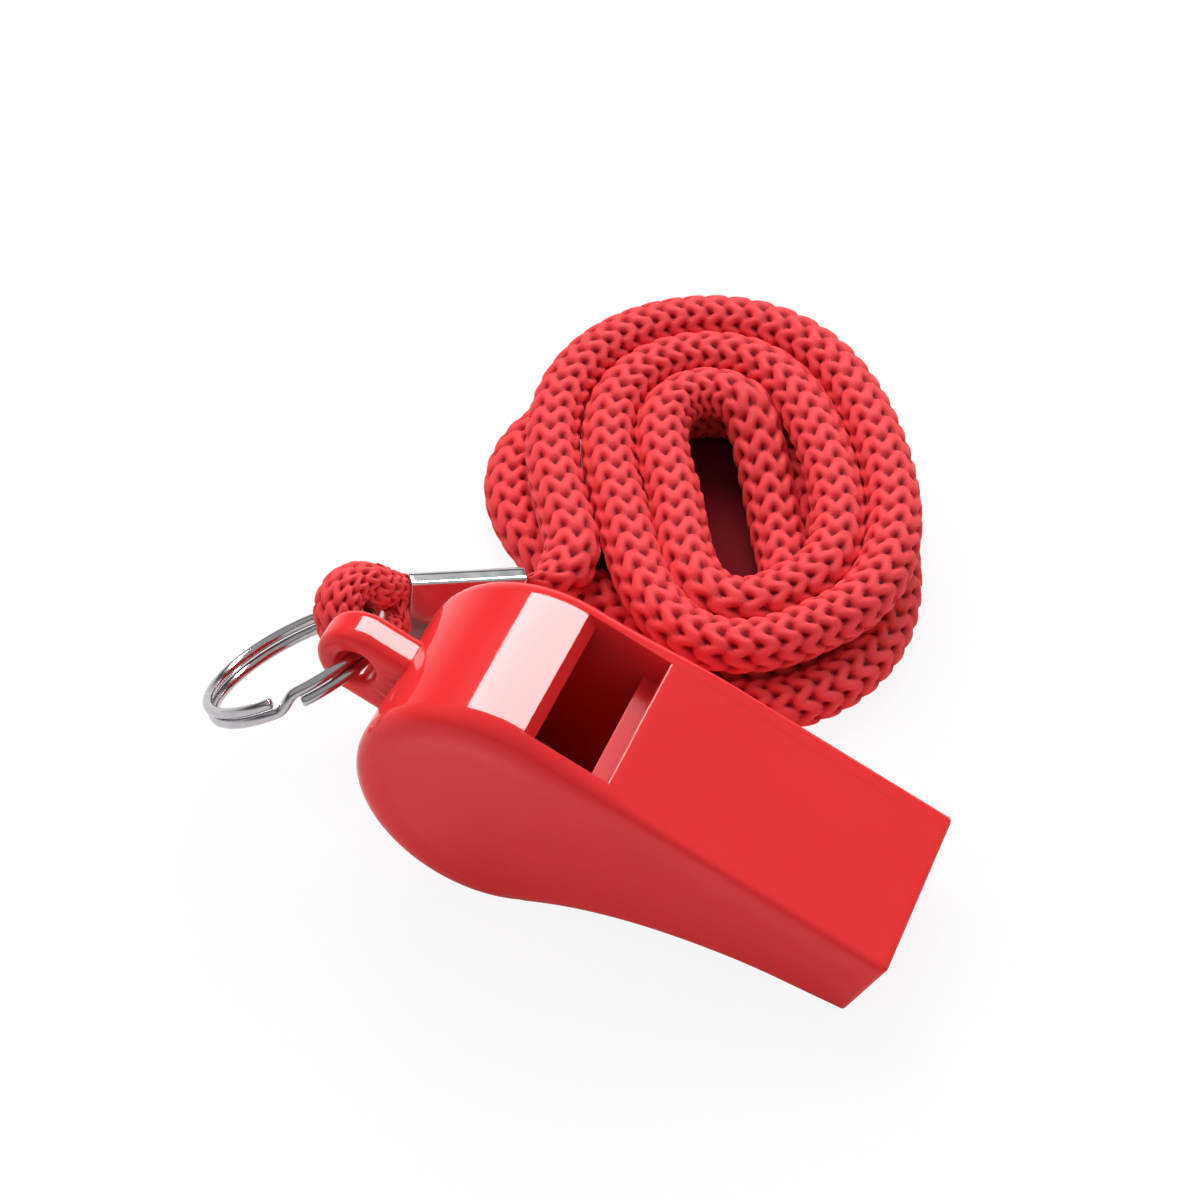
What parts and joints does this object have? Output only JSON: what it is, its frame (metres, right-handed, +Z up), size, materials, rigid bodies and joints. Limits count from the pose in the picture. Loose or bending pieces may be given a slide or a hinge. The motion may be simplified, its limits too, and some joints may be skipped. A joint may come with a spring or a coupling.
{
  "type": "sports whistle",
  "caption": "Flat-sided plastic pea whistle with a lug and split ring, and a knitted neck cord crimped in a metal sleeve and laid in a coil beside it.",
  "frame": {"origin": "under the middle of the whistle and its ring, at the level of the table that the whistle lies on", "axes": "+X from the ring towards the mouthpiece, +Y towards the coiled cord, +Z up"},
  "size_m": [0.0698, 0.077, 0.0245],
  "materials": {
    "whistle_plastic": "polished injection-moulded plastic, slightly translucent",
    "cork": "natural cork",
    "ring_steel": "bright nickel plate",
    "sleeve_metal": "bright plated tube",
    "cord_knit": "tubular knit, soft sheen"
  },
  "bodies": {
    "whistle": {"body_shell": "whistle_plastic", "side_cover": "whistle_plastic", "windway_block": "whistle_plastic"},
    "pea": {"pea": "cork"},
    "ring": {"split_ring": "ring_steel"},
    "lanyard": {"crimp_sleeve": "sleeve_metal", "cord_eye": "cord_knit", "cord_lead_low": "cord_knit", "cord_lead_high": "cord_knit", "lanyard_coil": "cord_knit"}
  },
  "joints": [
    {"name": "pea_roll", "type": "hinge", "parent": "whistle", "child": "pea", "pos_m": [-0.00419, -0.00019, 0.01225], "axis": [0, 1, 0], "continuous": true},
    {"name": "ring_swing", "type": "hinge", "parent": "whistle", "child": "ring", "pos_m": [-0.01883, -0.00019, 0.01846], "axis": [0, 1, 0], "range_deg": [-15, 140]},
    {"name": "cord_swing", "type": "hinge", "parent": "ring", "child": "lanyard", "pos_m": [-0.02389, 0.00889, 0.0131], "axis": [0.8079, -0.2028, 0.5532], "range_deg": [-4, 95]}
  ]
}
